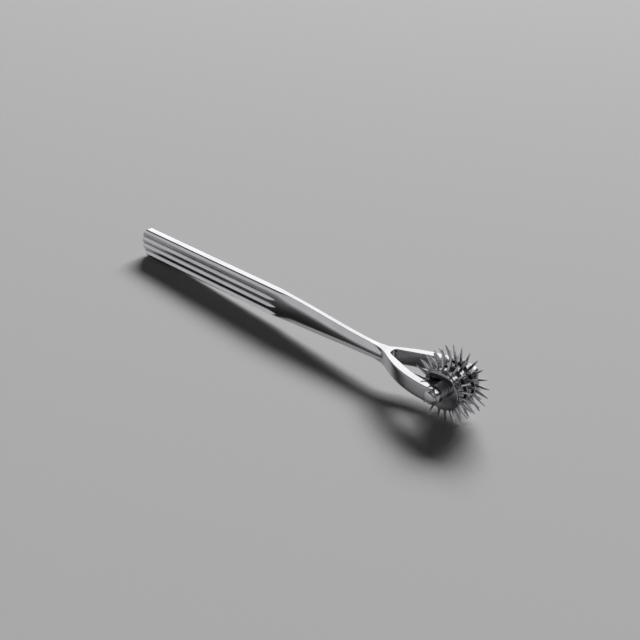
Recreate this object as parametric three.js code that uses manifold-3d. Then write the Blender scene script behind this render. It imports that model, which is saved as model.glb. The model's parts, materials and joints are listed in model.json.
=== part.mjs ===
// Neurological pinwheel: a grooved steel handle that tapers into a bowed fork, and between the
// fork's arms a free-running wheel with three rows of needle points.
// Millimetres, +Z up. The tool lies as on a table: the back edge of the handle and the lowest
// needle point touch Z = 0. +X runs from the handle to the wheel, and the axle lies along Y.
import * as THREE from 'three';
import { mergeVertices } from 'three/addons/utils/BufferGeometryUtils.js';
import Module from 'manifold-3d';

const wasm = await Module();
wasm.setup();

// Handle: a tall thin bar on edge, with sloping faces along its top and bottom
const axleReach = 176.2; // back end of the handle to the axle
const handleHeight = 13.2; // at the back end
const handleFrontHeight = 12.4; // where the neck starts
const barThickness = 4.4; // the neck's as well
const handleFlat = 3.2; // width of the flat on top and below
const handleBevel = 1.6; // height of the upper sloping face at the back end
const handleFrontBevel = 1.9; // where the neck starts
const handleLowerBevel = 0.9;
const endCrown = 2.4; // how far the rounded back end stands past its two corners

// Grooves, milled along both broad sides
const grooveCount = 3;
const groovePitch = 3.25;
const grooveWidth = 2.85;
const grooveDepth = 1;
const grooveDrop = 0.35; // the set of grooves sits this much below the middle line at the back end
const grooveFrontDrop = 0.8; // and this much where the cutter starts to lift
const grooveLength = 81; // from the back end to where the cutter starts to lift
const grooveRunOut = 6; // length over which the cutter lifts clear

// Neck: an eight-sided bar with a flat on top and below
const neckStart = 82; // from the back end
const neckHeight = 6.3;
const neckDrop = 0.9; // the neck's middle line ends this far below the line from handle to axle
const neckFlat = 1.9;
const neckBevel = 2.8; // height of each sloping face
const shoulderStart = 85.5; // from the back end: where the flats begin to narrow towards the neck's
const shoulderLength = 10;

// Fork
const armThickness = 3.2;
const armHeight = 6.3;
const armBowRadius = 53; // of each arm's middle line, seen from above
const crotchRadius = 2.2;
const crotchSetBack = 2; // behind where the crotch's round would just touch the inner bows
const neckFilletRadius = 18; // seen from above, where the neck widens into the arms

// Wheel
const drumRadius = 8.1;
const ringEdgeBreak = 0.25;
const rowPitch = 4.3; // from one row of needles to the next
const spacingRingWidth = 1.2;
const spacingRingRadius = 6.3;
const plateRadius = 7.7;
const plateThickness = 0.45;
const plateEdgeBreak = 0.15;
const bushRadius = 2.9;
const bushStandout = 0.9; // how far the bush stands out of the side plates

// Needles
const needleCount = 22; // in each row
const needleTipRadius = 13.8; // from the axle's middle to the points
const needleBaseRadius = 0.55;
const needleRoot = 1.2; // length of each needle inside its ring
const rightRowTurnShare = 0.5; // each row's turn from straight down, as a share of one needle's step
const middleRowTurnShare = 0.5;
const leftRowTurnShare = 0;

// Axle
const axleRadius = 1.2;
const headRadius = 2.6;
const headRim = 0.3; // upright edge of the head and of the end cap, below their domes
const domeHeight = 1.1;
const capWall = 0.6; // metal left between the end cap's hole and the top of its dome
const spacerRadius = 2.9;
const spacerThickness = 0.8;

// Clearances
const seatGap = 0.3; // between pieces that seat on each other
const runningGap = 0.3; // between the axle and what turns or sits on it
const overrun = 1; // cutters reach this far past what they cut

// Smoothness
const roundSides = 64;
const smallRoundSides = 32;
const needleSides = 6;
const arcSteps = 14;
const neckSteps = 16;
const shoulderSteps = 8;
const grooveFacets = 6;
const runOutSteps = 5;

// What follows from the sizes above
const ringWidth = rowPitch - spacingRingWidth - 2 * seatGap;
const plateInner = rowPitch + ringWidth / 2 + seatGap;
const plateFace = plateInner + plateThickness;
const bushEnd = plateFace + bushStandout;
const spacerInner = bushEnd + runningGap;
const armInner = spacerInner + spacerThickness + seatGap;
const armMiddle = armInner + armThickness / 2;
const armOuter = armInner + armThickness;
const headFoot = armOuter + seatGap;
const headTop = headFoot + headRim + domeHeight;
const boreRadius = axleRadius + runningGap;
const stackBore = bushRadius + seatGap;
const needleStep = (2 * Math.PI) / needleCount;

// Places along the tool, measured from the axle towards the wheel's front
const backEnd = -axleReach;
const fromBack = (distance) => backEnd + distance;
const bowCentre = armBowRadius - armMiddle;
const outerBow = armBowRadius + armThickness / 2;
const innerBow = armBowRadius - armThickness / 2;
const crotchCentre = -Math.sqrt((innerBow - crotchRadius) ** 2 - bowCentre ** 2) - crotchSetBack;
const filletCentreY = neckFlat / 2 + neckFilletRadius;
const forkStart = -Math.sqrt((outerBow + neckFilletRadius) ** 2 - (bowCentre + filletCentreY) ** 2);
const neckEnd = crotchCentre - crotchRadius - armThickness / 2;

// Rest: the handle's lower back corner and the lowest needle point share one level
const cornerReach = axleReach - endCrown;
const cornerDrop = handleHeight / 2;
const restTilt = Math.asin(needleTipRadius / Math.hypot(cornerReach, cornerDrop))
  - Math.atan2(cornerDrop, cornerReach);
const axleX = (axleReach * Math.cos(restTilt) - needleTipRadius) / 2;

const brushedSteel = new THREE.MeshStandardMaterial({ color: 0xc4c6c8, metalness: 1, roughness: 0.28 });
const polishedSteel = new THREE.MeshStandardMaterial({ color: 0xd2d4d6, metalness: 1, roughness: 0.14 });
const darkSteel = new THREE.MeshStandardMaterial({ color: 0x8f9194, metalness: 1, roughness: 0.35 });

// Falls from 1 to 0 as share goes from 0 to 1, level at both ends
function ease(share) {
  const held = Math.min(Math.max(share, 0), 1);
  return (1 + Math.cos(Math.PI * held)) / 2;
}

function blend(from, to, share) {
  return from + (to - from) * share;
}

// Merges shared corners, drops empty faces and turns the faces outward
function closedSolid(geometry) {
  geometry.deleteAttribute('normal');
  geometry.deleteAttribute('uv');
  const merged = mergeVertices(geometry);
  const corners = merged.attributes.position.array;
  const faces = [];
  for (let i = 0; i < merged.index.count; i += 3) {
    const [a, b, c] = merged.index.array.slice(i, i + 3);
    if (a !== b && b !== c && c !== a) {
      faces.push(a, b, c);
    }
  }
  if (signedVolume(corners, faces) < 0) {
    faces.reverse();
  }
  return new wasm.Manifold(new wasm.Mesh({
    numProp: 3,
    vertProperties: new Float32Array(corners),
    triVerts: new Uint32Array(faces),
  }));
}

function signedVolume(corners, faces) {
  const corner = (index) => new THREE.Vector3().fromArray(corners, 3 * index);
  let volume = 0;
  for (let i = 0; i < faces.length; i += 3) {
    const [a, b, c] = [corner(faces[i]), corner(faces[i + 1]), corner(faces[i + 2])];
    volume += a.dot(b.cross(c)) / 6;
  }
  return volume;
}

function solidGeometry(solid) {
  const mesh = solid.getMesh();
  const geometry = new THREE.BufferGeometry();
  geometry.setAttribute('position', new THREE.BufferAttribute(new Float32Array(mesh.vertProperties), 3));
  geometry.setIndex(new THREE.BufferAttribute(new Uint32Array(mesh.triVerts), 1));
  geometry.computeVertexNormals();
  return geometry;
}

function joined(solids) {
  return solids.reduce((whole, solid) => whole.add(solid));
}

// A closed skin over convex sections that all have the same number of corners
function loft(sections) {
  const count = sections[0].length;
  const last = (sections.length - 1) * count;
  const faces = [];
  for (let row = 0; row < last; row += count) {
    for (let i = 0; i < count; i += 1) {
      const a = row + i;
      const b = row + ((i + 1) % count);
      faces.push(a, b, b + count, a, b + count, a + count);
    }
  }
  for (let i = 1; i + 1 < count; i += 1) {
    faces.push(0, i + 1, i, last, last + i, last + i + 1);
  }
  const geometry = new THREE.BufferGeometry();
  const corners = sections.flat().flatMap((corner) => corner.toArray());
  geometry.setAttribute('position', new THREE.BufferAttribute(new Float32Array(corners), 3));
  geometry.setIndex(faces);
  return closedSolid(geometry);
}

// A profile of [radius, place along Y] pairs, turned about the axle's line
function turned(profile, sides) {
  const points = profile.map(([radius, y]) => new THREE.Vector2(radius, y));
  return closedSolid(new THREE.LatheGeometry(points, sides));
}

function ringProfile(inner, outer, from, to) {
  return [[inner, from], [outer, from], [outer, to], [inner, to], [inner, from]];
}

// An outline in X and Z, as seen from the side, made thickness wide about the middle plane
function sideExtrusion(shape, thickness) {
  const geometry = new THREE.ExtrudeGeometry(shape, {
    depth: thickness, bevelEnabled: false, curveSegments: arcSteps,
  });
  geometry.rotateX(Math.PI / 2);
  geometry.translate(0, thickness / 2, 0);
  return closedSolid(geometry);
}

// Height of the tool's middle line: it is lowest where the fork starts
function middleHeight(x) {
  if (x > forkStart) {
    return -neckDrop * ease(1 - x / forkStart);
  }
  const neckFrom = fromBack(neckStart);
  return -neckDrop * (1 - ease((x - neckFrom) / (forkStart - neckFrom)));
}

// The bar's middle height, half height, half flat and bevels at a place along it
function barShape(x) {
  const backShare = Math.min((x - backEnd) / neckStart, 1);
  const neckShare = ease((x - fromBack(neckStart)) / (neckEnd - fromBack(neckStart)));
  const shoulder = 1 - ease((x - fromBack(shoulderStart)) / shoulderLength);
  const handlePart = blend(handleHeight, handleFrontHeight, backShare);
  const halfHeight = blend(neckHeight, handlePart, neckShare) / 2;
  const handleUpper = blend(handleBevel, handleFrontBevel, backShare);
  const bevelLimitShare = 0.8;
  const bevelLimit = halfHeight * bevelLimitShare;
  return {
    middle: middleHeight(x),
    halfHeight,
    halfFlat: blend(handleFlat, neckFlat, shoulder) / 2,
    upperBevel: Math.min(blend(handleUpper, neckBevel, shoulder), bevelLimit),
    lowerBevel: Math.min(blend(handleLowerBevel, neckBevel, shoulder), bevelLimit),
  };
}

// A long eight-sided section whose shoulders are softened by one more facet
function barSection(x) {
  const { middle, halfHeight, halfFlat, upperBevel, lowerBevel } = barShape(x);
  const halfWidth = barThickness / 2;
  const softShare = 0.2;
  const quarter = (bevel) => [
    [halfFlat, halfHeight],
    [blend(halfWidth, halfFlat, softShare), halfHeight - bevel * (1 - softShare)],
    [halfWidth, halfHeight - bevel * (1 + softShare)],
  ];
  const lowerQuarter = quarter(lowerBevel).map(([y, z]) => [y, -z]).reverse();
  const side = [...quarter(upperBevel), ...lowerQuarter];
  const otherSide = side.map(([y, z]) => [-y, z]).reverse();
  return [...side, ...otherSide].map(([y, z]) => new THREE.Vector3(x, y, middle + z));
}

function barBody() {
  const neckFrom = fromBack(shoulderStart + shoulderLength);
  const stations = [backEnd, fromBack(neckStart)];
  for (let i = 0; i < shoulderSteps; i += 1) {
    stations.push(blend(fromBack(shoulderStart), neckFrom, i / shoulderSteps));
  }
  for (let i = 0; i <= neckSteps; i += 1) {
    stations.push(blend(neckFrom, neckEnd, i / neckSteps));
  }
  return loft(stations.map(barSection));
}

// Everything in front of the rounded back end
function endOutline() {
  const half = handleHeight / 2;
  const radius = (half ** 2 + endCrown ** 2) / (2 * endCrown);
  const spread = Math.asin(half / radius);
  const shape = new THREE.Shape();
  shape.moveTo(overrun, -half - overrun);
  shape.lineTo(overrun, half + overrun);
  shape.lineTo(fromBack(endCrown), half + overrun);
  shape.absarc(fromBack(radius), 0, radius, Math.PI - spread, Math.PI + spread, false);
  shape.lineTo(fromBack(endCrown), -half - overrun);
  return sideExtrusion(shape, 2 * barThickness);
}

// The cutter's section: an arc on the inside and straight sides that stand clear of the bar
function grooveSection(x, middle, side, lift) {
  const radius = ((grooveWidth / 2) ** 2 + grooveDepth ** 2) / (2 * grooveDepth);
  const spread = Math.asin(grooveWidth / 2 / radius);
  const face = barThickness / 2 + lift;
  const points = [];
  for (let i = 0; i <= grooveFacets; i += 1) {
    const angle = blend(-spread, spread, i / grooveFacets);
    const depth = radius * Math.cos(angle) - radius + grooveDepth;
    points.push([face - depth, middle + radius * Math.sin(angle)]);
  }
  points.push([face + overrun, middle + grooveWidth / 2]);
  points.push([face + overrun, middle - grooveWidth / 2]);
  return points.map(([y, z]) => new THREE.Vector3(x, side * y, z));
}

// One groove, at a height above or below the middle of the set
function grooveCutter(height, side) {
  const section = (distance, lift) => {
    const drop = blend(grooveDrop, grooveFrontDrop, distance / grooveLength);
    return grooveSection(fromBack(distance), height - drop, side, lift);
  };
  const sections = [section(-overrun, 0)];
  for (let i = 0; i <= runOutSteps; i += 1) {
    const share = i / runOutSteps;
    sections.push(section(grooveLength + grooveRunOut * share, grooveDepth * share ** 2));
  }
  return loft(sections);
}

function grooveCutters() {
  const cutters = [];
  for (let i = 0; i < grooveCount; i += 1) {
    const height = groovePitch * (i - (grooveCount - 1) / 2);
    cutters.push(grooveCutter(height, 1), grooveCutter(height, -1));
  }
  return joined(cutters);
}

// The wishbone seen from above: fillets from the neck into two outer bows, and inside them two
// inner bows that run straight into the rounded crotch
function forkPlan() {
  const eyeEnd = armHeight / 2;
  const filletAngle = Math.atan2(bowCentre + filletCentreY, forkStart);
  const touching = (innerBow - crotchRadius) / Math.hypot(bowCentre, crotchCentre);
  const crotchAngle = Math.atan2(bowCentre, crotchCentre) - Math.acos(touching);
  const down = (3 * Math.PI) / 2;
  const whole = 2 * Math.PI;
  const shape = new THREE.Shape();
  shape.moveTo(eyeEnd, armOuter);
  shape.lineTo(0, armOuter);
  shape.absarc(0, -bowCentre, outerBow, Math.PI / 2, filletAngle, false);
  shape.absarc(forkStart, filletCentreY, neckFilletRadius, Math.PI + filletAngle, down, true);
  shape.absarc(forkStart, -filletCentreY, neckFilletRadius, Math.PI / 2, Math.PI - filletAngle, true);
  shape.absarc(0, bowCentre, outerBow, whole - filletAngle, down, false);
  shape.lineTo(eyeEnd, -armOuter);
  shape.lineTo(eyeEnd, -armInner);
  shape.lineTo(0, -armInner);
  shape.absarc(0, bowCentre, innerBow, down, whole - crotchAngle, true);
  shape.absarc(crotchCentre, 0, crotchRadius, whole - crotchAngle, crotchAngle, true);
  shape.absarc(0, -bowCentre, innerBow, crotchAngle, Math.PI / 2, true);
  shape.lineTo(eyeEnd, armInner);
  const depth = armHeight + 2 * (neckDrop + overrun);
  const geometry = new THREE.ExtrudeGeometry(shape, {
    depth, bevelEnabled: false, curveSegments: arcSteps,
  });
  geometry.translate(0, 0, -depth / 2);
  return closedSolid(geometry);
}

// The fork seen from the side: it rises a little from the neck and ends round the axle
function forkSide() {
  const half = armHeight / 2;
  const edge = (side) => {
    const points = [new THREE.Vector2(forkStart - overrun, side * half - neckDrop)];
    for (let i = 0; i < arcSteps; i += 1) {
      const x = forkStart * (1 - i / arcSteps);
      points.push(new THREE.Vector2(x, side * half + middleHeight(x)));
    }
    return points;
  };
  const shape = new THREE.Shape(edge(-1));
  shape.absarc(0, 0, half, -Math.PI / 2, Math.PI / 2, false);
  edge(1).reverse().forEach((point) => shape.lineTo(point.x, point.y));
  return sideExtrusion(shape, 2 * (armOuter + overrun));
}

function axleHole() {
  const length = 2 * (armOuter + overrun);
  return closedSolid(new THREE.CylinderGeometry(boreRadius, boreRadius, length, smallRoundSides));
}

function handleForkSolid() {
  const bar = barBody().intersect(endOutline()).subtract(grooveCutters());
  const fork = forkPlan().intersect(forkSide()).subtract(axleHole());
  return bar.add(fork);
}

// A needle that points along +X from the axle's middle, a little full at its foot
function needleSolid() {
  const free = needleTipRadius - drumRadius;
  const profile = [[0, drumRadius - needleRoot], [needleBaseRadius, drumRadius - needleRoot]];
  const radiusShares = [1, 0.78, 0.4];
  const lengthShares = [0, 0.45, 0.82];
  radiusShares.forEach((share, i) => {
    profile.push([needleBaseRadius * share, drumRadius + free * lengthShares[i]]);
  });
  profile.push([0, needleTipRadius]);
  return turned(profile, needleSides).rotate([0, 0, -90]);
}

function pinnedRingSolid() {
  const half = ringWidth / 2;
  const ring = turned([
    [stackBore, -half],
    [drumRadius - ringEdgeBreak, -half],
    [drumRadius, ringEdgeBreak - half],
    [drumRadius, half - ringEdgeBreak],
    [drumRadius - ringEdgeBreak, half],
    [stackBore, half],
    [stackBore, -half],
  ], 3 * needleCount);
  const needle = needleSolid();
  const needles = [];
  for (let i = 0; i < needleCount; i += 1) {
    needles.push(needle.rotate([0, THREE.MathUtils.radToDeg(needleStep * i), 0]));
  }
  return joined([ring, ...needles]);
}

function sidePlateSolid() {
  return turned([
    [stackBore, plateInner],
    [plateRadius, plateInner],
    [plateRadius, plateFace - plateEdgeBreak],
    [plateRadius - plateEdgeBreak, plateFace],
    [stackBore, plateFace],
    [stackBore, plateInner],
  ], roundSides);
}

// Points of a dome from its foot to just short of its top, as [radius, place along Y]
function domeProfile(radius, foot, height) {
  const points = [];
  const steps = arcSteps / 2;
  for (let i = 0; i < steps; i += 1) {
    const angle = (Math.PI / 2) * (i / steps);
    points.push([radius * Math.cos(angle), foot + height * Math.sin(angle)]);
  }
  return points;
}

// The axle: a plain pin with a domed head, drawn with its head towards +Y
function axlePinSolid() {
  const shaftEnd = capWall + seatGap - headTop;
  return turned([
    [0, shaftEnd],
    [axleRadius, shaftEnd],
    [axleRadius, headFoot],
    [headRadius, headFoot],
    ...domeProfile(headRadius, headFoot + headRim, domeHeight),
    [0, headTop],
  ], smallRoundSides);
}

function endCapSolid() {
  return turned([
    [0, headTop - capWall],
    [boreRadius, headTop - capWall],
    [boreRadius, headFoot],
    [headRadius, headFoot],
    ...domeProfile(headRadius, headFoot + headRim, domeHeight),
    [0, headTop],
  ], smallRoundSides);
}

function piece(name, solid, material) {
  const mesh = new THREE.Mesh(solidGeometry(solid), material);
  mesh.name = name;
  return mesh;
}

// The frame of the tool, with the axle's middle at its origin
function fixedPieces() {
  const group = new THREE.Group();
  const spacer = turned(
    ringProfile(boreRadius, spacerRadius, spacerInner, spacerInner + spacerThickness),
    smallRoundSides,
  );
  const pin = piece('axle_pin', axlePinSolid(), polishedSteel);
  pin.rotation.z = Math.PI;
  const rightSpacer = piece('right_spacer', spacer, polishedSteel);
  rightSpacer.rotation.z = Math.PI;
  group.add(
    piece('handle_fork', handleForkSolid(), brushedSteel),
    pin,
    piece('axle_end_cap', endCapSolid(), polishedSteel),
    piece('left_spacer', spacer, polishedSteel),
    rightSpacer,
  );
  return group;
}

// The wheel, with the axle's middle at its origin and a needle step measured from straight down
function wheelPieces() {
  const group = new THREE.Group();
  const pinnedRing = pinnedRingSolid();
  const rows = [
    ['right_pinned_ring', -rowPitch, rightRowTurnShare],
    ['middle_pinned_ring', 0, middleRowTurnShare],
    ['left_pinned_ring', rowPitch, leftRowTurnShare],
  ];
  rows.forEach(([name, y, turnShare]) => {
    const ring = piece(name, pinnedRing, brushedSteel);
    ring.position.y = y;
    ring.rotation.y = Math.PI / 2 - needleStep * turnShare;
    group.add(ring);
  });
  const spacingRing = turned(
    ringProfile(stackBore, spacingRingRadius, -spacingRingWidth / 2, spacingRingWidth / 2),
    roundSides,
  );
  [['right', -1], ['left', 1]].forEach(([name, side]) => {
    const spacing = piece(`${name}_spacing_ring`, spacingRing, darkSteel);
    spacing.position.y = (side * rowPitch) / 2;
    const plate = piece(`${name}_side_plate`, sidePlateSolid(), polishedSteel);
    plate.rotation.z = side > 0 ? 0 : Math.PI;
    group.add(spacing, plate);
  });
  const bush = turned(ringProfile(boreRadius, bushRadius, -bushEnd, bushEnd), smallRoundSides);
  group.add(piece('hub_bush', bush, polishedSteel));
  return group;
}

const pinwheel = new THREE.Group();
const fixed = fixedPieces();
fixed.position.set(axleX, 0, needleTipRadius);
fixed.rotation.y = -restTilt;
const wheel = wheelPieces();
wheel.position.set(axleX, 0, needleTipRadius);
pinwheel.add(fixed, wheel);

export default pinwheel;
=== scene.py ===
# Neurological pinwheel: a grooved steel handle, a wishbone fork and a wheel with three rows
# of needles.
# Sizes of the pieces are in millimetres, those of the room and the materials in metres.
# Everything is placed in metres, in the frame's own axes.
import json
import math

import bmesh
import bpy
from mathutils import Matrix, Vector


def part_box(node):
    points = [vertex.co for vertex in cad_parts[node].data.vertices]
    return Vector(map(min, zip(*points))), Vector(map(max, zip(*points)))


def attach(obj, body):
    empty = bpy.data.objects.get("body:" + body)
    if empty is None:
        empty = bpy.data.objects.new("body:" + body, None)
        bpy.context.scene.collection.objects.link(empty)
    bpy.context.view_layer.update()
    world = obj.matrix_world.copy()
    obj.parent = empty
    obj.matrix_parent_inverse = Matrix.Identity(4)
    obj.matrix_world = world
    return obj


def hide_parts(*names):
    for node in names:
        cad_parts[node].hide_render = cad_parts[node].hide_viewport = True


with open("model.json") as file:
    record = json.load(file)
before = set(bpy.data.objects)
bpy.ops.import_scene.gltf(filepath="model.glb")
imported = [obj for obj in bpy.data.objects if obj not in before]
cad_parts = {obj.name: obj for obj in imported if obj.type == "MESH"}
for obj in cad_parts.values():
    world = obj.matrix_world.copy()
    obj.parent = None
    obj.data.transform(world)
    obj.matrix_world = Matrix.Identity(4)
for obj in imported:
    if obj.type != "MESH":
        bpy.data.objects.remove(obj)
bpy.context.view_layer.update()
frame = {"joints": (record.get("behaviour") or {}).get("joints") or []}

mm = 0.001
axle = Vector(frame["joints"][0]["pos_m"])  # the middle of the wheel


def boxSize(node):
    # lowest and highest corner of a node in millimetres from the axle
    low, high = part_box(node)
    return (low - axle) / mm, (high - axle) / mm


tipRadius = -boxSize("left_pinned_ring")[0].z  # one needle of this row points straight down
headTop = -boxSize("axle_pin")[0].y  # the top of the axle's head, from the tool's middle
shaftEnd = -boxSize("axle_pin")[1].y  # the shaft's other end, below zero past the middle
seatGap = 0.3  # the solids keep this gap where pieces seat

handle = dict(
    axleReach=176.2,  # back end to axle
    backHeight=13.2,
    frontHeight=12.4,
    thickness=4.7,
    flat=3.25,  # width of the top and the underside
    bevel=1.5,  # height of the upper sloping face at the back end
    frontBevel=1.65,
    lowerBevel=0.9,
    endCrown=2.4,
    cornerRound=1.1,  # the back end's two corners, seen from the side
    endRound=0.4,  # the rim of the back end
    edgeRound=0.75,  # between the flats and the sloping faces
    endBow=0.45,  # how far the back end curves away towards its two sides, seen from above
    cornerDepth=0.55,  # how much of a full round the end's corners get
    endInside=0.002,  # keeps the end inside the solid's box
    grooves=3,
    groovePitch=3.25,
    grooveWidth=2.5,
    grooveSlope=0.56,  # depth gained for each millimetre from a groove's lip towards its root
    grooveSoftness=0.2,  # roundness of the root
    grooveDrop=0.525,  # middle of the set below the bar's middle, at the back end
    grooveFrontDrop=0.975,
    grooveLength=81.0,
    grooveRunOut=6.0,
    grooveReach=5.9,  # a little more than the lowest lip lies below the bar's middle
    grooveFade=4.0,  # past the run-out, the length over which their points spread out again
    neckStart=82.0,
    neckHeight=6.3,
    neckThickness=4.4,
    neckFlat=1.9,
    neckBevel=2.8,
    neckEdgeRound=0.14,
    neckDrop=0.9,
    shoulderStart=85.5,
    shoulderLength=10.0,
    shoulderSoftness=0.12,  # how soft the bevel's lower shoulder is, as a share of its width
    bevelMost=0.8,  # the tallest a bevel may be, as a share of half the height
    bevelClear=0.9,  # past the grooves their points keep this share of a bevel's height free
)
barMesh = dict(  # how many points or sections each stretch of the bar gets
    edge=7,
    aboveGrooves=9,
    groove=15,
    belowGrooves=7,
    lipSearch=24,  # halvings on the way to the lowest groove's lip
    lipDepth=1e-4,  # millimetres; a shallower cut isn't part of the groove
    rim=6,
    grooved=16,
    runOut=13,
    shoulder=14,
    neck=34,
    firstSection=6.0,  # millimetres from the back end
    betweenShare=0.4,  # where the section between the rim and the first one stands
)
fork = dict(
    armThickness=3.2,
    armHeight=6.3,
    bowRadius=53.0,
    crotchRadius=2.2,
    crotchSetBack=2.0,  # behind where the crotch's round would just touch the inner bows
    neckFilletRadius=18.0,
    edgeRound=0.28,
    boreRadius=1.5,
    boreSides=48,
    boreBeyond=2.0,  # how far the tool for the bores reaches past the arms
    sideShare=0.5,  # where a point stands on the arm's side, as a share of half its height
    topShares=(0.35, 0.5, 0.65),  # and where points stand across its top
    crotchShort=0.7,  # how much of a step the crotch's inside stops short of the middle
    cornerSteps=4,
    bowSteps=22,
    straightSteps=12,
    crotchSteps=16,
    endSteps=28,
    lift=0.004,  # keeps the fork's flat just clear of the neck's
)


# Places that follow from the sizes above, in millimetres from the axle along the tool
armInner = boxSize("left_spacer")[1].y + seatGap
armMiddle = armInner + fork["armThickness"] / 2
armOuter = armInner + fork["armThickness"]
bowCentre = fork["bowRadius"] - armMiddle
outerBow = fork["bowRadius"] + fork["armThickness"] / 2
innerBow = fork["bowRadius"] - fork["armThickness"] / 2
crotchTouch = math.sqrt((innerBow - fork["crotchRadius"]) ** 2 - bowCentre**2)
crotchCentre = -crotchTouch - fork["crotchSetBack"]
filletCentreY = handle["neckFlat"] / 2 + fork["neckFilletRadius"]
filletReach = outerBow + fork["neckFilletRadius"]
forkStart = -math.sqrt(filletReach**2 - (bowCentre + filletCentreY) ** 2)
neckEnd = crotchCentre - fork["crotchRadius"] - fork["armThickness"] / 2
backEnd = -handle["axleReach"]
cornerReach = handle["axleReach"] - handle["endCrown"]
cornerDrop = handle["backHeight"] / 2
restTilt = math.asin(tipRadius / math.hypot(cornerReach, cornerDrop))
restTilt -= math.atan2(cornerDrop, cornerReach)  # the back end and the needles touch the floor


def ease(share):
    # falls from 1 to 0, level at both ends
    held = min(max(share, 0.0), 1.0)
    return (1 + math.cos(math.pi * held)) / 2


def mix(start, end, share):
    return start + (end - start) * share


def spread(start, end, count):
    # count places from start to end, both included
    return [mix(start, end, i / (count - 1)) for i in range(count)]


def onTool(point):
    # millimetres from the axle, along the tilted tool, to metres in the frame
    x, y, z = point
    c, s = math.cos(restTilt), math.sin(restTilt)
    return axle + Vector((x * c - z * s, y, x * s + z * c)) * mm


def onWheel(point):
    return axle + Vector(point) * mm


# Mesh building

mesher = dict(
    weld=1e-7,  # metres; closer points become one
    sharpHandle=28,  # degrees; an edge that turns by more is drawn sharp
    sharpTurned=32,
    sharpPinned=34,
    sharpNeedle=40,
    turnedSides=96,
    cornerSteps=4,
    cornerMost=0.45,  # the most of a side that a corner's rounding may take
)


def loftFaces(rows, count):
    # quads between closed rows that each hold the same number of points
    faces = []
    for row in range(rows - 1):
        for i in range(count):
            a = row * count + i
            b = row * count + (i + 1) % count
            faces.append((a, b, b + count, a + count))
    return faces


def meshObject(name, points, faces, place, sharpAngle):
    mesh = bpy.data.meshes.new(name)
    build = bmesh.new()
    corners = [build.verts.new(place(point)) for point in points]
    for face in faces:
        distinct = list(dict.fromkeys(face))
        if len(distinct) > 2:
            build.faces.new([corners[i] for i in distinct])
    bmesh.ops.remove_doubles(build, verts=build.verts, dist=mesher["weld"])
    bmesh.ops.dissolve_degenerate(build, edges=build.edges, dist=mesher["weld"])
    bmesh.ops.recalc_face_normals(build, faces=build.faces)
    build.to_mesh(mesh)
    build.free()
    return finishMesh(name, mesh, sharpAngle)


def finishMesh(name, mesh, sharpAngle):
    mesh.shade_smooth()
    mesh.set_sharp_from_angle(angle=math.radians(sharpAngle))
    piece = bpy.data.objects.new(name, mesh)
    bpy.context.scene.collection.objects.link(piece)
    return piece


def combine(base, other, operation, sharpAngle):
    # union or difference of two closed pieces; the result keeps the first one's name
    step = base.modifiers.new("combine", "BOOLEAN")
    step.operation = operation
    step.solver = "EXACT"
    step.object = other
    bpy.context.view_layer.update()
    evaluated = base.evaluated_get(bpy.context.evaluated_depsgraph_get())
    mesh = bpy.data.meshes.new_from_object(evaluated)
    name = base.name
    for old in (base, other):
        oldMesh = old.data
        bpy.data.objects.remove(old)
        bpy.data.meshes.remove(oldMesh)
    mesh.name = name
    return finishMesh(name, mesh, sharpAngle)


def roundedCorners(outline, radius):
    # rounds every corner of a closed outline of (radius, place) pairs
    result = []
    count, steps, most = len(outline), mesher["cornerSteps"], mesher["cornerMost"]
    for i in range(count):
        corner = Vector(outline[i])
        before = Vector(outline[i - 1]) - corner
        after = Vector(outline[(i + 1) % count]) - corner
        cut = min(radius, before.length * most, after.length * most)
        start = corner + before.normalized() * cut
        end = corner + after.normalized() * cut
        for k in range(steps + 1):
            t = k / steps
            result.append(tuple(start * (1 - t) ** 2 + corner * 2 * t * (1 - t) + end * t**2))
    return result


def turnedPiece(name, outline, place, sides=mesher["turnedSides"]):
    # an outline of (radius, place along Y) pairs, turned about the axle's line
    points = []
    for k in range(sides):
        angle = 2 * math.pi * k / sides
        points += [(r * math.cos(angle), y, r * math.sin(angle)) for r, y in outline]
    count = len(outline)
    faces = []
    for k in range(sides):
        for i in range(count):
            a = k * count + i
            b = k * count + (i + 1) % count
            c = ((k + 1) % sides) * count + (i + 1) % count
            d = ((k + 1) % sides) * count + i
            faces.append((a, b, c, d))
    return meshObject(name, points, faces, place, mesher["sharpTurned"])


# Handle and neck: one skin over sections that carry the grooves


def middleHeight(x):
    # height of the tool's middle line: it is lowest where the fork starts
    if x > forkStart:
        return -handle["neckDrop"] * ease(1 - x / forkStart)
    neckFrom = backEnd + handle["neckStart"]
    return -handle["neckDrop"] * (1 - ease((x - neckFrom) / (forkStart - neckFrom)))


def barShape(x):
    # middle height, half height, half widths, bevel heights and edge rounding at a place
    fromBack = x - backEnd
    backShare = min(fromBack / handle["neckStart"], 1.0)
    neckShare = ease((fromBack - handle["neckStart"]) / (neckEnd - backEnd - handle["neckStart"]))
    shoulder = 1 - ease((fromBack - handle["shoulderStart"]) / handle["shoulderLength"])
    handlePart = mix(handle["backHeight"], handle["frontHeight"], backShare)
    halfHeight = mix(handle["neckHeight"], handlePart, neckShare) / 2
    upper = mix(handle["bevel"], handle["frontBevel"], backShare)
    bevelLimit = halfHeight * handle["bevelMost"]
    return dict(
        middle=middleHeight(x),
        halfHeight=halfHeight,
        halfWidth=mix(handle["thickness"], handle["neckThickness"], shoulder) / 2,
        halfFlat=mix(handle["flat"], handle["neckFlat"], shoulder) / 2,
        upperBevel=min(mix(upper, handle["neckBevel"], shoulder), bevelLimit),
        lowerBevel=min(mix(handle["lowerBevel"], handle["neckBevel"], shoulder), bevelLimit),
        edgeRound=mix(handle["edgeRound"], handle["neckEdgeRound"], shoulder),
    )


def softMinimum(a, b, softness):
    h = min(max(0.5 + 0.5 * (b - a) / softness, 0.0), 1.0)
    return mix(b, a, h) - softness * h * (1 - h)


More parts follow.
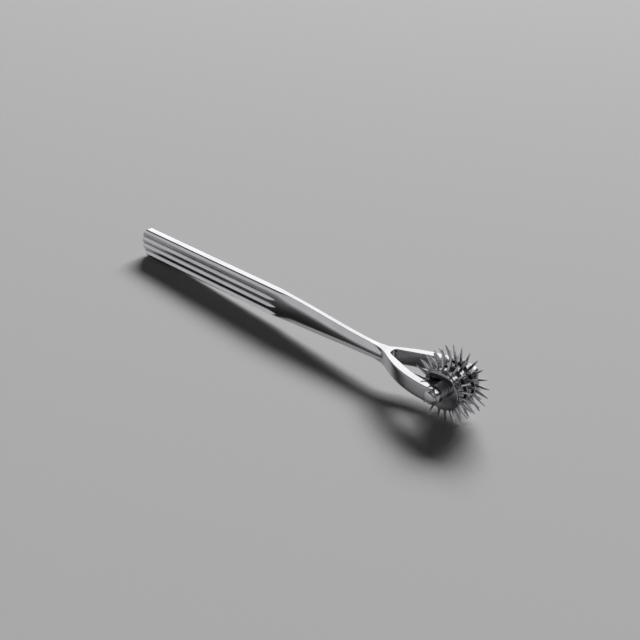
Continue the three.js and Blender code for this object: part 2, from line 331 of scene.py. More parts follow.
def sideDepth(shape, z):
    # half width of the bar at a height, without grooves
    across = shape["halfWidth"] - shape["halfFlat"]
    bevel = shape["upperBevel"] if z > 0 else shape["lowerBevel"]
    bevelLine = shape["halfFlat"] + (shape["halfHeight"] - abs(z)) * across / bevel
    return softMinimum(bevelLine, shape["halfWidth"], across * handle["shoulderSoftness"])


def softEdge(shape, bevel):
    # the rounding between a flat and its sloping face, as (half width, height) from the flat on
    turn = math.atan2(bevel, shape["halfWidth"] - shape["halfFlat"])
    radius, high = shape["edgeRound"], shape["halfHeight"]
    start = shape["halfFlat"] - radius * math.tan(turn / 2)
    return [
        (start + radius * math.sin(angle), high - radius * (1 - math.cos(angle)))
        for angle in spread(0, turn, barMesh["edge"])
    ]


def grooveState(x):
    # half the grooves' width at the face, how far the cutter has lifted and the grooves' middles
    half = handle["grooveWidth"] / 2
    along = x - backEnd
    share = min(max((along - handle["grooveLength"]) / handle["grooveRunOut"], 0.0), 1.0)
    lift = half * handle["grooveSlope"] * share**2
    reach = half * (1 - share**2)
    drop = mix(handle["grooveDrop"], handle["grooveFrontDrop"], along / handle["grooveLength"])
    first = handle["groovePitch"] * (handle["grooves"] - 1) / 2 - drop
    middles = [first - handle["groovePitch"] * i for i in range(handle["grooves"])]
    return reach, lift, middles


def grooveCut(away, lift):
    # depth of a groove at a distance from its middle
    half, slope = handle["grooveWidth"] / 2, handle["grooveSlope"]
    depth = softMinimum((half - away) * slope, (half + away) * slope, handle["grooveSoftness"])
    return max(depth - lift, 0.0)


def halfSection(x):
    # (y, z) points from the top's middle down one side to the underside's middle
    shape = barShape(x)
    high, wide = shape["halfHeight"], shape["halfWidth"]
    groovesEnd = backEnd + handle["grooveLength"] + handle["grooveRunOut"]
    reach, lift, middles = grooveState(min(x, groovesEnd))
    spreadOut = min(max(x - groovesEnd, 0.0) / handle["grooveFade"], 1.0)
    width = max(reach, handle["grooveWidth"] / 2 * spreadOut)
    room = high - shape["upperBevel"] * handle["bevelClear"]
    squeeze = mix(1.0, min(room / handle["grooveReach"], 1.0), spreadOut)

    def grooved(z, middle):
        # half width at a height, with the groove cut
        cut = grooveCut(z - middle, lift) if abs(z - middle) < reach else 0.0
        return min(sideDepth(shape, z), wide - cut)

    def lowestLip(middle):
        # the lowest groove ends where it meets the lower sloping face
        low, up = middle - width, middle
        for _ in range(barMesh["lipSearch"] if reach > 0 else 0):
            z = (low + up) / 2
            if grooved(z, middle) < sideDepth(shape, z) - barMesh["lipDepth"]:
                up = z
            else:
                low = z
        return low

    top = softEdge(shape, shape["upperBevel"])
    bottom = [(y, -z) for y, z in softEdge(shape, shape["lowerBevel"])][::-1]
    points = [(0.0, high), (top[0][0] / 2, high)] + top
    lips = [(middle + width, middle - width) for middle in middles]
    lips[-1] = (lips[-1][0], lowestLip(middles[-1]))
    upper = spread(top[-1][1], lips[0][0] * squeeze, barMesh["aboveGrooves"])
    points += [(sideDepth(shape, z), z) for z in upper[1:-1]]
    for middle, (start, end) in zip(middles, lips):
        heights = [z * squeeze for z in spread(start, end, barMesh["groove"])]
        points += [(grooved(z, middle), z) for z in heights]
    lower = spread(lips[-1][1] * squeeze, bottom[0][1], barMesh["belowGrooves"])
    points += [(sideDepth(shape, z), z) for z in lower[1:-1]]
    points += bottom + [(bottom[-1][0] / 2, -high), (0.0, -high)]
    return [(y, z + shape["middle"]) for y, z in points]


def endPlace(y, z):
    # the crowned back end, with its two corners drawn round and its sides curved a little forward
    half, crown, corner = handle["backHeight"] / 2, handle["endCrown"], handle["cornerRound"]
    radius = (half**2 + crown**2) / (2 * crown)
    place = backEnd + radius - math.sqrt(radius**2 - min(abs(z), half) ** 2)
    into = max(abs(z) - (half - corner), 0.0)
    place += handle["cornerDepth"] * (corner - math.sqrt(max(corner**2 - into**2, 0.0)))
    bow = handle["endBow"] * (2 * y / handle["thickness"]) ** 4
    return place + bow + handle["endInside"]


def barStations():
    run = handle["grooveLength"]
    ends = run + handle["grooveRunOut"]
    shoulderEnd = handle["shoulderStart"] + handle["shoulderLength"]
    places = spread(barMesh["firstSection"], run, barMesh["grooved"])
    places += spread(run, ends, barMesh["runOut"])[1:]
    places += spread(ends, shoulderEnd, barMesh["shoulder"])[1:]
    places += spread(shoulderEnd, neckEnd - backEnd, barMesh["neck"])[1:]
    return [backEnd + place for place in places]


def barPiece():
    # the first sections follow the crowned end, with a softened rim
    rim = handle["endRound"]
    wide, high = handle["thickness"] / 2, handle["backHeight"] / 2
    half = halfSection(backEnd + handle["endCrown"])
    sections = []
    for angle in spread(0, math.pi / 2, barMesh["rim"]):
        inset = rim * (1 - math.sin(angle))
        ahead = rim * (1 - math.cos(angle))
        shrunk = [(y * (1 - inset / wide), z * (1 - inset / high)) for y, z in half]
        sections.append([(endPlace(y, z) + ahead, y, z) for y, z in shrunk])
    first, share = backEnd + barMesh["firstSection"], barMesh["betweenShare"]
    sections.append([(mix(endPlace(y, z) + rim, first, share), y, z) for y, z in half])
    for x in barStations():
        sections.append([(x, y, z) for y, z in halfSection(x)])
    points = []
    for section in sections:
        points += section + [(x, -y, z) for x, y, z in section[-2:0:-1]]
    count = 2 * len(half) - 2
    faces = loftFaces(len(sections), count)
    faces += ladderFaces(0, count) + ladderFaces((len(sections) - 1) * count, count)
    return meshObject("handleBar", points, faces, onTool, mesher["sharpHandle"])


def ladderFaces(first, count):
    # closes a ring that is alike on both sides with rungs across it
    faces = []
    for i in range(count // 2):
        left, leftNext = i, i + 1
        right, rightNext = (count - i) % count, count - i - 1
        faces.append((first + left, first + leftNext, first + rightNext, first + right))
    return faces


# Fork: one skin over upright sections that run from one arm's eye round the crotch to the other's


def around(centre, radius, angle):
    return Vector((centre[0] + radius * math.cos(angle), centre[1] + radius * math.sin(angle)))


def armProfile(width, half):
    # half of an arm's section with soft corners, as (place across, height) from the inner side
    soft = fork["edgeRound"]
    side = [(0.0, 0.0), (0.0, half * fork["sideShare"])]
    for angle in spread(0, math.pi / 2, fork["cornerSteps"] + 1):
        side.append((soft * (1 - math.cos(angle)), half - soft + soft * math.sin(angle)))
    top = [(width * share, half) for share in fork["topShares"]]
    return side + top + [(width - across, up) for across, up in side[::-1]]


def forkPairs():
    # matching points of the outer and inner outlines, from the left arm's eye to the middle
    middle, bow = (0.0, -bowCentre), math.pi / 2
    filletAngle = math.atan2(bowCentre + filletCentreY, forkStart)
    touching = (innerBow - fork["crotchRadius"]) / math.hypot(bowCentre, crotchCentre)
    crotchAngle = math.atan2(bowCentre, crotchCentre) - math.acos(touching)
    pairs = []
    for angle in spread(bow, crotchAngle, fork["bowSteps"]):
        pairs.append((around(middle, outerBow, angle), around(middle, innerBow, angle)))
    start = pairs[-1][1]
    crotch = (crotchCentre, 0.0)
    end = around(crotch, fork["crotchRadius"], crotchAngle)
    for share in spread(0, 1, fork["straightSteps"])[1:]:
        outer = around(middle, outerBow, mix(crotchAngle, filletAngle, share))
        pairs.append((outer, start.lerp(end, share)))
    fillet = (forkStart, filletCentreY)
    steps = fork["crotchSteps"]
    for share in spread(0, 1, steps)[1:]:
        turn = mix(filletAngle - math.pi, -math.pi / 2, share)
        inside = mix(crotchAngle, math.pi, share * (steps - fork["crotchShort"]) / steps)
        outer = around(fillet, fork["neckFilletRadius"], turn)
        pairs.append((outer, around(crotch, fork["crotchRadius"], inside)))
    pairs.append((Vector((forkStart, 0)), around(crotch, fork["crotchRadius"], math.pi)))
    return pairs


def forkSection(outer, inner):
    width = (outer - inner).length
    ahead = (outer - inner) / width
    half = fork["armHeight"] / 2 + fork["lift"]
    upperHalf, lowerHalf = [], []
    for across, up in armProfile(width, half):
        spot = inner + ahead * across
        swell = barShape(spot.x)["halfHeight"] - handle["neckHeight"] / 2
        height = up * (half + swell) / half
        upperHalf.append((spot.x, spot.y, middleHeight(spot.x) + height))
        lowerHalf.append((spot.x, spot.y, middleHeight(spot.x) - height))
    return upperHalf + lowerHalf[-2:0:-1]


def forkPiece():
    half = [forkSection(outer, inner) for outer, inner in forkPairs()]
    other = [[(x, -y, z) for x, y, z in section] for section in half[-2::-1]]
    sections = half + other
    points = [point for section in sections for point in section]
    count = len(sections[0])
    faces = loftFaces(len(sections), count)
    profile = armProfile(fork["armThickness"], fork["armHeight"] / 2 + fork["lift"])
    for side, base in ((1, 0), (-1, (len(sections) - 1) * count)):
        rows = [[base + i for i in range(len(profile))]]
        for angle in spread(0, math.pi, fork["endSteps"])[1:-1]:
            row = []
            for index, (across, up) in enumerate(profile):
                if index in (0, len(profile) - 1):
                    row.append(base + index)  # the middle of the eye's flat face
                    continue
                y = side * (armInner + across)
                points.append((up * math.sin(angle), y, up * math.cos(angle)))
                row.append(len(points) - 1)
            rows.append(row)
        lower = [base + count - i for i in range(1, len(profile) - 1)]
        rows.append([base] + lower + [base + len(profile) - 1])
        for upperRow, lowerRow in zip(rows, rows[1:]):
            for i in range(len(profile) - 1):
                faces.append((upperRow[i], upperRow[i + 1], lowerRow[i + 1], lowerRow[i]))
    return meshObject("forkArms", points, faces, onTool, mesher["sharpHandle"])


def boreTool(radius, reach):
    outline = [(0.0, -reach), (radius, -reach), (radius, reach), (0.0, reach)]
    return turnedPiece("boreTool", outline, onTool, fork["boreSides"])


def makeHandle():
    bar = barPiece()
    arms = forkPiece()
    tool = boreTool(fork["boreRadius"], armOuter + fork["boreBeyond"])
    bored = combine(arms, tool, "DIFFERENCE", mesher["sharpHandle"])
    whole = combine(bar, bored, "UNION", mesher["sharpHandle"])
    whole.name = "handleAndFork"
    return whole


# Wheel pieces

rings = dict(
    radius=8.1,
    bore=3.2,
    sides=132,
    edgeRound=0.22,
    rootInside=0.35,  # how far each needle's foot reaches into its ring
    needles=22,
    needleRadius=0.56,
    evenTaper=0.26,  # share of the radius lost evenly from foot to tip
    tipTaper=0.5,  # share lost mostly near the tip
    needleSides=20,
    needleSteps=26,
    footFlare=0.12,
    flareLength=0.35,
    tipRound=0.35,
    turnShares=dict(right=0.5, middle=0.5, left=0.0),  # of one needle's step, from straight down
)


def needleProfile():
    # (place along the needle, radius): a little full at the foot, a ground point at the tip
    free = tipRadius - rings["radius"]
    profile = [(rings["radius"] - rings["rootInside"], rings["needleRadius"])]
    for share in spread(0, 1, rings["needleSteps"]):
        taper = rings["evenTaper"] * share + rings["tipTaper"] * share**3
        flare = rings["footFlare"] * max(1 - share * free / rings["flareLength"], 0.0) ** 2
        tip = max(1 - (free * (1 - share)) / rings["tipRound"], 0.0)
        radius = (rings["needleRadius"] * (1 - taper) + flare) * math.sqrt(1 - tip**2)
        profile.append((rings["radius"] + free * share, radius))
    return profile


def needleRow(name, side, middle):
    profile = needleProfile()
    sides = rings["needleSides"]
    step = 2 * math.pi / rings["needles"]
    points, faces = [], []
    for index in range(rings["needles"]):
        angle = step * index + math.pi / 2 - step * rings["turnShares"][side]
        ahead = Vector((math.cos(angle), 0, -math.sin(angle)))
        across = Vector((math.sin(angle), 0, math.cos(angle)))
        first = len(points)
        for reach, radius in profile[:-1]:
            for k in range(sides):
                turn = 2 * math.pi * k / sides
                spot = ahead * reach + across * radius * math.cos(turn)
                points.append((spot.x, middle + radius * math.sin(turn), spot.z))
        rows = len(profile) - 1
        faces += [tuple(first + i for i in face) for face in loftFaces(rows, sides)]
        faces.append(tuple(range(first, first + sides)))
        tip = ahead * profile[-1][0]
        points.append((tip.x, middle, tip.z))
        last = first + (rows - 1) * sides
        for k in range(sides):
            faces.append((last + k, last + (k + 1) % sides, len(points) - 1))
    return meshObject(name, points, faces, onWheel, mesher["sharpNeedle"])


def pinnedRing(side):
    low, high = boxSize(f"{side}_pinned_ring")
    outline = ringOutline(rings["bore"], rings["radius"], low.y, high.y, rings["edgeRound"])
    ring = turnedPiece(f"{side}PinnedRing", outline, onWheel, rings["sides"])
    needles = needleRow(f"{side}Needles", side, (low.y + high.y) / 2)
    return combine(ring, needles, "UNION", mesher["sharpPinned"])


def ringOutline(bore, radius, start, end, soft):
    return roundedCorners([(bore, start), (radius, start), (radius, end), (bore, end)], soft)


def plainRing(name, node, place, bore, soft, grow=(0.0, 0.0)):
    # a turned ring that fills its node's box; grow closes the gaps on its two faces
    low, high = boxSize(node)
    radius = (high.x - low.x) / 2
    outline = ringOutline(bore, radius, low.y - grow[0], high.y + grow[1], soft)
    return turnedPiece(name, outline, place)


axleParts = dict(
    shaftRadius=1.2,  # the hole in the end cap as well
    headRadius=2.6,
    domeHeight=1.1,
    footEdge=0.08,  # the small bevel where a head meets the arm
    footGap=0.05,
    capHollow=0.58,  # from the top of the end cap's dome to the bottom of its hole
    domeSteps=15,
)


def domedEnd(name, side, tail):
    # a domed head or cap whose top faces outwards, to side -1 or 1
    # tail is where the head's shaft or the cap's hole ends
    shaft, radius, edge = axleParts["shaftRadius"], axleParts["headRadius"], axleParts["footEdge"]
    dome = axleParts["domeHeight"]
    foot = armOuter + axleParts["footGap"]
    outline = [(0.0, tail), (shaft, tail), (shaft, foot)]
    outline += [(radius - edge, foot), (radius, foot + edge)]
    for angle in spread(0, math.pi / 2, axleParts["domeSteps"])[:-1]:
        outline.append((radius * math.cos(angle), headTop - dome + dome * math.sin(angle)))
    outline.append((0.0, headTop))
    return turnedPiece(name, [(r, side * y) for r, y in outline], onTool)


# Materials: shared effects are node groups, the shader stays in each material


def addNode(tree, kind, **values):
    node = tree.nodes.new(kind)
    for key, value in values.items():
        setattr(node, key, value)
    return node


def newGroup(name, inputs, outputs):
    group = bpy.data.node_groups.new(name, "ShaderNodeTree")
    for label, kind, default in inputs:
        socket = group.interface.new_socket(name=label, in_out="INPUT", socket_type=kind)
        socket.default_value = default
    for label, kind in outputs:
        group.interface.new_socket(name=label, in_out="OUTPUT", socket_type=kind)
    return group, group.nodes.new("NodeGroupInput"), group.nodes.new("NodeGroupOutput")


def mathNode(tree, operation, first, second=None, clamp=False):
    node = addNode(tree, "ShaderNodeMath", operation=operation, use_clamp=clamp)
    for index, value in enumerate((first, second)):
        if value is None:
            continue
        if isinstance(value, (int, float)):
            node.inputs[index].default_value = value
        else:
            tree.links.new(value, node.inputs[index])
    return node.outputs[0]


def smoothStep(tree, value, start, end):
    # from 0 at start to 1 at end, level at both
    step = addNode(tree, "ShaderNodeMapRange", interpolation_type="SMOOTHSTEP")
    step.inputs["From Min"].default_value = start
    step.inputs["From Max"].default_value = end
    tree.links.new(value, step.inputs["Value"])
    return step.outputs[0]


def lengthwiseGrain():
    # fine polishing lines that run along the tool
    group, inward, outward = newGroup(
        "lengthwiseGrain",
        [("Across", "NodeSocketFloat", 4000.0), ("Along", "NodeSocketFloat", 60.0)],
        [("Grain", "NodeSocketFloat")],
    )
    links = group.links
    where = addNode(group, "ShaderNodeTexCoord")
    turn = addNode(group, "ShaderNodeMapping")
    turn.inputs["Rotation"].default_value = (0, restTilt, 0)
    links.new(where.outputs["Object"], turn.inputs["Vector"])
    scale = addNode(group, "ShaderNodeCombineXYZ")
    links.new(inward.outputs["Along"], scale.inputs[0])
    links.new(inward.outputs["Across"], scale.inputs[1])
    links.new(inward.outputs["Across"], scale.inputs[2])
    stretched = addNode(group, "ShaderNodeVectorMath", operation="MULTIPLY")
    links.new(turn.outputs[0], stretched.inputs[0])
    links.new(scale.outputs[0], stretched.inputs[1])
    noise = addNode(group, "ShaderNodeTexNoise")
    noise.inputs["Scale"].default_value = 1.0
    noise.inputs["Detail"].default_value = 3.0
    noise.inputs["Roughness"].default_value = 0.65
    links.new(stretched.outputs[0], noise.inputs["Vector"])
    links.new(noise.outputs[0], outward.inputs["Grain"])
    return group


def turnedGrain():
    # fine rings about the axle, as a lathe leaves them; on a needle they run round it
    group, inward, outward = newGroup(
        "turnedGrain",
        [("Rings", "NodeSocketFloat", 9000.0), ("Round", "NodeSocketFloat", 1.5)],
        [("Grain", "NodeSocketFloat"), ("Radius", "NodeSocketFloat")],
    )
    links = group.links
    where = addNode(group, "ShaderNodeTexCoord")
    fromAxle = addNode(group, "ShaderNodeVectorMath", operation="SUBTRACT")
    fromAxle.inputs[1].default_value = axle
    links.new(where.outputs["Object"], fromAxle.inputs[0])
    parts = addNode(group, "ShaderNodeSeparateXYZ")
    links.new(fromAxle.outputs[0], parts.inputs[0])
    flat = addNode(group, "ShaderNodeCombineXYZ")
    links.new(parts.outputs[0], flat.inputs[0])
    links.new(parts.outputs[2], flat.inputs[2])
    radius = addNode(group, "ShaderNodeVectorMath", operation="LENGTH")
    links.new(flat.outputs[0], radius.inputs[0])
    angle = mathNode(group, "ARCTAN2", parts.outputs[0], parts.outputs[2])
    spot = addNode(group, "ShaderNodeCombineXYZ")
    scaled = ((radius.outputs["Value"], "Rings"), (parts.outputs[1], "Rings"), (angle, "Round"))
    for index, (value, label) in enumerate(scaled):
        links.new(mathNode(group, "MULTIPLY", value, inward.outputs[label]), spot.inputs[index])
    noise = addNode(group, "ShaderNodeTexNoise")
    noise.inputs["Scale"].default_value = 1.0
    noise.inputs["Detail"].default_value = 3.0
    links.new(spot.outputs[0], noise.inputs["Vector"])
    links.new(noise.outputs[0], outward.inputs["Grain"])
    links.new(radius.outputs["Value"], outward.inputs["Radius"])
    return group


wearAndShade = dict(
    smudgeRange=(0.38, 0.66),  # of the noise, from clean to smudged
    scratchScale=260.0,
    scratchWidth=0.012,
    scratchTurn=(0.3, 0.5, 0.2),
    scratchStretch=(0.4, 1.6, 1.0),
    scratchFrom=0.57,  # scratches show where the smudge noise is above this
    scratches=0.4,
    scratchRoughness=0.15,
    scratchDepth=4.0,
    # the next two darken the hollows and the wheel between the needles' feet: painted shade
    hollowShadeShare=0.8,
    footShadeShare=0.7,
    edgeShare=0.7,
    grainShare=0.6,  # of the roughness; the smudges give the rest
    reliefHeight=0.00001,
)


def handlingMarks():
    # broad smudges and a few fine scratches from use
    group, inward, outward = newGroup(
        "handlingMarks",
        [("Smudge size", "NodeSocketFloat", 140.0), ("Scratches", "NodeSocketFloat", 1.0)],
        [("Smudge", "NodeSocketFloat"), ("Scratch", "NodeSocketFloat")],
    )
    links = group.links
    where = addNode(group, "ShaderNodeTexCoord")
    smudge = addNode(group, "ShaderNodeTexNoise")
    smudge.inputs["Detail"].default_value = 4.0
    smudge.inputs["Roughness"].default_value = 0.55
    links.new(where.outputs["Object"], smudge.inputs["Vector"])
    links.new(inward.outputs["Smudge size"], smudge.inputs["Scale"])
    shaped = addNode(group, "ShaderNodeMapRange")
    for label, value in zip(("From Min", "From Max"), wearAndShade["smudgeRange"]):
        shaped.inputs[label].default_value = value
    links.new(smudge.outputs[0], shaped.inputs["Value"])
    cells = addNode(group, "ShaderNodeTexVoronoi", feature="DISTANCE_TO_EDGE")
    cells.inputs["Scale"].default_value = wearAndShade["scratchScale"]
    stretch = addNode(group, "ShaderNodeMapping")
    stretch.inputs["Rotation"].default_value = wearAndShade["scratchTurn"]
    stretch.inputs["Scale"].default_value = wearAndShade["scratchStretch"]
    links.new(where.outputs["Object"], stretch.inputs["Vector"])
    links.new(stretch.outputs[0], cells.inputs["Vector"])
    thin = mathNode(group, "LESS_THAN", cells.outputs[0], wearAndShade["scratchWidth"])
    broken = mathNode(group, "GREATER_THAN", smudge.outputs[0], wearAndShade["scratchFrom"])
    both = mathNode(group, "MULTIPLY", thin, broken)
    scratch = mathNode(group, "MULTIPLY", both, inward.outputs["Scratches"])
    links.new(shaped.outputs[0], outward.inputs["Smudge"])
    links.new(scratch, outward.inputs["Scratch"])
    return group


def edgeWear():
    # masks of the outer edges, where handling keeps the metal bright, and of hollows for painted
    # shade
    group, inward, outward = newGroup(
        "edgeWear",
        [("Reach", "NodeSocketFloat", 0.06)],
        [("Edge", "NodeSocketFloat"), ("Hollow", "NodeSocketFloat")],
    )
    links = group.links
    geometry = addNode(group, "ShaderNodeNewGeometry")
    rise = mathNode(group, "SUBTRACT", geometry.outputs["Pointiness"], 0.5)
    drop = mathNode(group, "MULTIPLY", rise, -1.0)
    edge = mathNode(group, "DIVIDE", rise, inward.outputs["Reach"], clamp=True)
    hollow = mathNode(group, "DIVIDE", drop, inward.outputs["Reach"], clamp=True)
    links.new(edge, outward.inputs["Edge"])
    links.new(hollow, outward.inputs["Hollow"])
    return group


def placeGroup(tree, group, **inputs):
    node = addNode(tree, "ShaderNodeGroup")
    node.node_tree = group
    for label, value in inputs.items():
        node.inputs[label.replace("_", " ")].default_value = value
    return node


def steel(name, grainGroup, settings):
    # colour, roughness and relief come from the grain, the smudges, the scratches and the edges
    material = bpy.data.materials.new(name)
    material.use_nodes = True
    tree = material.node_tree
    links = tree.links
    shader = tree.nodes["Principled BSDF"]
    shader.inputs["Metallic"].default_value = 1.0
    grain = placeGroup(tree, grainGroup, **settings["grain"])
    marks = placeGroup(
        tree, marksGroup, Smudge_size=settings["smudgeSize"], Scratches=wearAndShade["scratches"],
    )
    edges = placeGroup(tree, edgesGroup, Reach=settings["edgeReach"])
    base = addNode(tree, "ShaderNodeMix", data_type="RGBA")
    base.inputs["A"].default_value = (*settings["colour"], 1)
    base.inputs["B"].default_value = (*settings["smudgeColour"], 1)
    links.new(marks.outputs["Smudge"], base.inputs["Factor"])
    # painted shade: the colour darkens in the hollows
    shaded = addNode(tree, "ShaderNodeMix", data_type="RGBA")
    shaded.inputs["B"].default_value = (*settings["shadeColour"], 1)
    links.new(base.outputs["Result"], shaded.inputs["A"])
    shadeMask = mathNode(tree, "MULTIPLY", edges.outputs["Hollow"], wearAndShade["hollowShadeShare"])
    if "footShadeRadius" in settings:
        # painted shade: darker between the needles' feet, fading out further along them
        pastFeet = smoothStep(tree, grain.outputs["Radius"], *settings["footShadeRadius"])
        nearFeet = mathNode(tree, "SUBTRACT", 1.0, pastFeet)
        footShade = mathNode(tree, "MULTIPLY", nearFeet, wearAndShade["footShadeShare"])
        shadeMask = mathNode(tree, "MAXIMUM", shadeMask, footShade)
    links.new(shadeMask, shaded.inputs["Factor"])
    worn = addNode(tree, "ShaderNodeMix", data_type="RGBA")
    worn.inputs["B"].default_value = (*settings["edgeColour"], 1)
    links.new(shaded.outputs["Result"], worn.inputs["A"])
    rubbed = mathNode(tree, "MULTIPLY", edges.outputs["Edge"], wearAndShade["edgeShare"])
    links.new(rubbed, worn.inputs["Factor"])
    links.new(worn.outputs["Result"], shader.inputs["Base Color"])
    low, high = settings["roughness"]
    grainSpan = (high - low) * wearAndShade["grainShare"]
    smudgeSpan = (high - low) * (1 - wearAndShade["grainShare"])
    grainPart = mathNode(tree, "MULTIPLY", grain.outputs["Grain"], grainSpan)
    smudgePart = mathNode(tree, "MULTIPLY", marks.outputs["Smudge"], smudgeSpan)
    scratchPart = mathNode(tree, "MULTIPLY", marks.outputs["Scratch"], wearAndShade["scratchRoughness"])
    total = mathNode(tree, "ADD", mathNode(tree, "ADD", grainPart, smudgePart), scratchPart)
    links.new(mathNode(tree, "ADD", total, low), shader.inputs["Roughness"])
    scored = mathNode(tree, "MULTIPLY", scratchPart, wearAndShade["scratchDepth"])
    height = mathNode(tree, "SUBTRACT", grain.outputs["Grain"], scored)
    bump = addNode(tree, "ShaderNodeBump")
    bump.inputs["Strength"].default_value = settings["relief"]
    bump.inputs["Distance"].default_value = wearAndShade["reliefHeight"]
    links.new(height, bump.inputs["Height"])
    links.new(bump.outputs[0], shader.inputs["Normal"])
    return material


marksGroup = handlingMarks()
edgesGroup = edgeWear()
lengthwise = lengthwiseGrain()
turnedRings = turnedGrain()

handleSteel = steel("handleSteel", lengthwise, dict(
    grain=dict(Across=5200.0, Along=70.0),
    colour=(0.48, 0.48, 0.49), smudgeColour=(0.44, 0.44, 0.45),
    shadeColour=(0.36, 0.36, 0.37), edgeColour=(0.60, 0.60, 0.61),
    roughness=(0.05, 0.12), relief=0.22, smudgeSize=120.0, edgeReach=0.06,
))
axleSteel = steel("axleSteel", turnedRings, dict(
    grain=dict(Rings=9000.0, Round=1.2),
    colour=(0.60, 0.60, 0.61), smudgeColour=(0.54, 0.54, 0.55),
    shadeColour=(0.34, 0.34, 0.35), edgeColour=(0.72, 0.72, 0.73),
    roughness=(0.22, 0.36), relief=0.3, smudgeSize=380.0, edgeReach=0.08,
))
satinSteel = steel("satinSteel", turnedRings, dict(
    grain=dict(Rings=8000.0, Round=1.4),
    colour=(0.66, 0.66, 0.67), smudgeColour=(0.60, 0.60, 0.61),
    shadeColour=(0.36, 0.36, 0.37), edgeColour=(0.76, 0.76, 0.77),
    roughness=(0.36, 0.52), relief=0.3, smudgeSize=380.0, edgeReach=0.08,
))
# darker than the other steels: painted shade for the dark reflections on the side plates
plateSteel = steel("plateSteel", turnedRings, dict(
    grain=dict(Rings=6500.0, Round=0.8),
    colour=(0.36, 0.36, 0.37), smudgeColour=(0.32, 0.32, 0.33),
    shadeColour=(0.24, 0.24, 0.25), edgeColour=(0.66, 0.66, 0.67),
    roughness=(0.04, 0.11), relief=0.12, smudgeSize=300.0, edgeReach=0.08,
))
needleSteel = steel("needleSteel", turnedRings, dict(
    grain=dict(Rings=5200.0, Round=3.0),
    colour=(0.64, 0.64, 0.65), smudgeColour=(0.57, 0.57, 0.58),
    shadeColour=(0.10, 0.10, 0.11), edgeColour=(0.76, 0.76, 0.77),
    roughness=(0.10, 0.20), relief=0.25, smudgeSize=420.0, edgeReach=0.1,
    footShadeRadius=(0.0082, 0.0098),  # from the axle: painted shade below the first, none past the second
))
# darker than the other steels: painted shade for the narrow recess between the pinned rings
darkSteel = steel("darkSteel", turnedRings, dict(
    grain=dict(Rings=7000.0, Round=2.0),
    colour=(0.30, 0.30, 0.31), smudgeColour=(0.24, 0.24, 0.25),
    shadeColour=(0.14, 0.14, 0.15), edgeColour=(0.40, 0.40, 0.41),
    roughness=(0.28, 0.46), relief=0.5, smudgeSize=420.0, edgeReach=0.1,
))
print("stage: materials made")


def dress(piece, body, slotName, material, *nodes):
    piece.data.materials.clear()
    piece.data.materials.append(material)
    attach(piece, body)
    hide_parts(*nodes)


dress(makeHandle(), "tool", "handle_steel", handleSteel, "handle_fork")
print("stage: handle and fork made")

stack = dict(
    closing=0.24,  # how much of each seat gap the scene's pieces close
    spacingRound=0.06,
    plateBore=2.94,
    plateRound=0.13,
    bushBore=1.5,  # and the spacers'
    bushRound=0.1,
)

for side in ("right", "middle", "left"):
    dress(pinnedRing(side), "wheel", "needle_steel", needleSteel, f"{side}_pinned_ring")
for side, sign in (("right", -1), ("left", 1)):
    closing = stack["closing"]
    inward = (0.0, closing) if sign < 0 else (closing, 0.0)
    outward = inward[::-1]
    spacing = plainRing(
        f"{side}SpacingRing", f"{side}_spacing_ring", onWheel,
        rings["bore"], stack["spacingRound"], (closing, closing),
    )
    dress(spacing, "wheel", "spacing_steel", darkSteel, f"{side}_spacing_ring")
    plate = plainRing(
        f"{side}SidePlate", f"{side}_side_plate", onWheel,
        stack["plateBore"], stack["plateRound"], inward,
    )
    dress(plate, "wheel", "plate_steel", plateSteel, f"{side}_side_plate")
    spacer = plainRing(
        f"{side}Spacer", f"{side}_spacer", onTool,
        stack["bushBore"], stack["bushRound"], outward,
    )
    dress(spacer, "tool", "axle_steel", satinSteel, f"{side}_spacer")
bush = plainRing("hubBush", "hub_bush", onWheel, stack["bushBore"], stack["bushRound"])
dress(bush, "wheel", "axle_steel", satinSteel, "hub_bush")
print("stage: wheel made")

pin = domedEnd("axlePin", -1, shaftEnd)
dress(pin, "tool", "axle_steel", axleSteel, "axle_pin")
cap = domedEnd("axleEndCap", 1, headTop - axleParts["capHollow"])
dress(cap, "tool", "axle_steel", axleSteel, "axle_end_cap")
print("stage: axle made")

# Floor, light and camera

studio = dict(
    floorRadius=6.0,
    floorSides=96,
    floorColour=(0.46, 0.46, 0.465),
    floorRoughness=0.85,
    floorSpecular=0.1,
    wallColour=(0.80, 0.80, 0.81),  # a pale screen to the left, seen in the metal
    roomColour=(0.06, 0.06, 0.065),
    wallSide=(-0.75, -0.66, 0.0),
    wallEdges=(0.0, 0.45),  # how far round towards its side the screen fades in
    wallTop=(0.22, 0.42),  # it darkens between these heights, as sines of the rise
    horizonTop=(0.02, 0.16),  # all round, the room goes from pale to dark between these
    fillLevel=0.05,
    lightAim=(0.03, 0.0, 0.01),  # the lights stand at their distance from this point
    key=dict(turn=115, rise=38, distance=6.0, size=(4.0, 1.75), level=24.5, forMetal=False),
    softbox=dict(turn=137, rise=27, distance=0.9, size=(0.62, 0.42), level=1.8, forMetal=True),
    rim=dict(turn=68, rise=42, distance=0.9, size=(0.7, 0.4), level=2.1, forMetal=True),
)
view = dict(  # fitted to the photograph; angles in radians, sizes in millimetres
    sensor=36,
    focalShare=1205.13 / 640,  # of the sensor's width
    nearest=0.01,  # metres
    elevation=0.543768,
    turn=0.769147,
    distance=474.363,
    aim=(14.692, 0.0, 11.914),
    roll=0.015865,
)


def makeFloor():
    mesh = bpy.data.meshes.new("floor")
    build = bmesh.new()
    bmesh.ops.create_circle(
        build, cap_ends=True, radius=studio["floorRadius"], segments=studio["floorSides"],
    )
    build.to_mesh(mesh)
    build.free()
    floor = bpy.data.objects.new("floor", mesh)
    bpy.context.scene.collection.objects.link(floor)
    material = bpy.data.materials.new("paleFloor")
    material.use_nodes = True
    shader = material.node_tree.nodes["Principled BSDF"]
    shader.inputs["Base Color"].default_value = (*studio["floorColour"], 1)
    shader.inputs["Roughness"].default_value = studio["floorRoughness"]
    shader.inputs["Specular IOR Level"].default_value = studio["floorSpecular"]
    mesh.materials.append(material)


